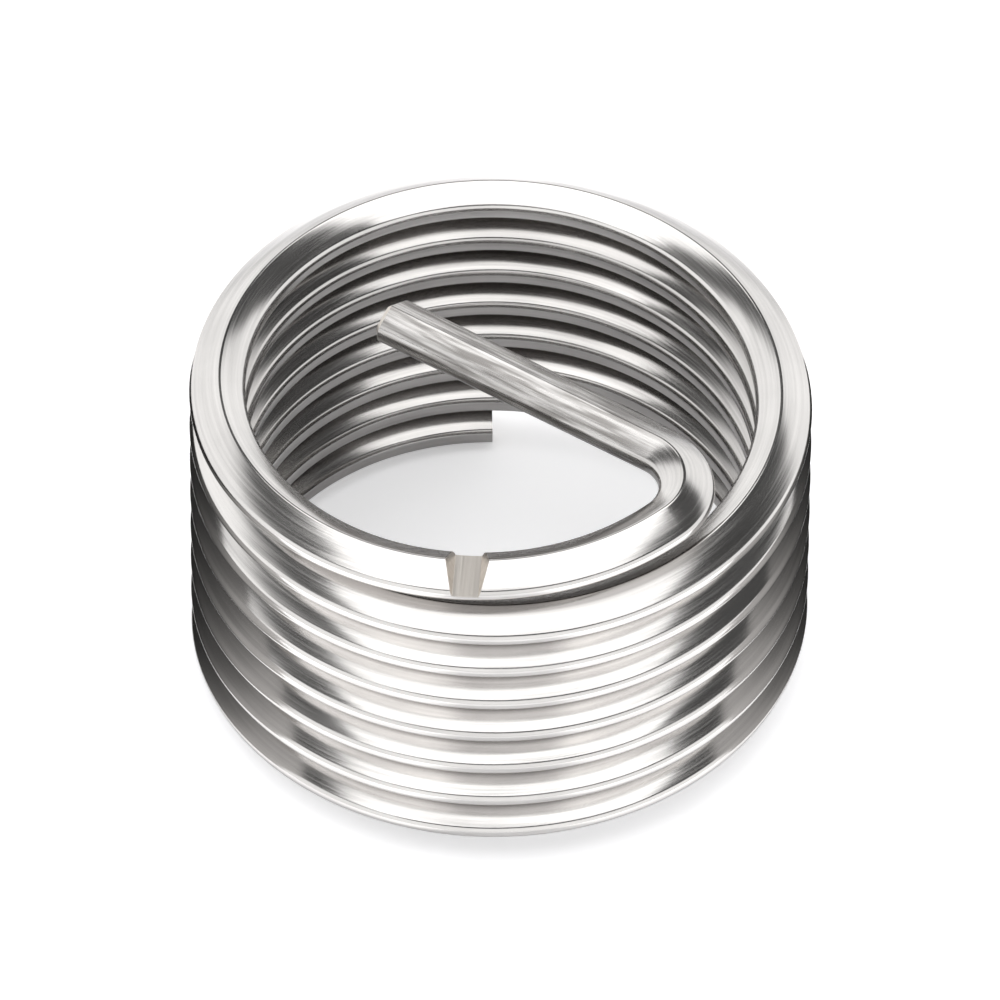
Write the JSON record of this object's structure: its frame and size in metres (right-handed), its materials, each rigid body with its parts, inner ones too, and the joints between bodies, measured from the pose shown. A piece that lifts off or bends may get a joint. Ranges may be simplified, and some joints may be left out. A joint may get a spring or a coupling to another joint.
{
  "type": "helical thread insert",
  "caption": "Right-hand coil of diamond-section wire that lines a tapped hole with a new thread, with a notched break-off tang across the bore at one end.",
  "frame": {"origin": "on the coil's axis, level with the lowest point of the first turn", "axes": "+Z along the coil's axis from the free end towards the tang, with the free end of the wire on the +Y side; the break-off notch and the tang's bend are on the -Y side"},
  "size_m": [0.0165, 0.0164, 0.0107],
  "materials": {
    "stainless_wire": "bright rolled stainless wire, drawn lines along its length"
  },
  "bodies": {
    "root": {"insert_wire": "stainless_wire"}
  },
  "joints": []
}
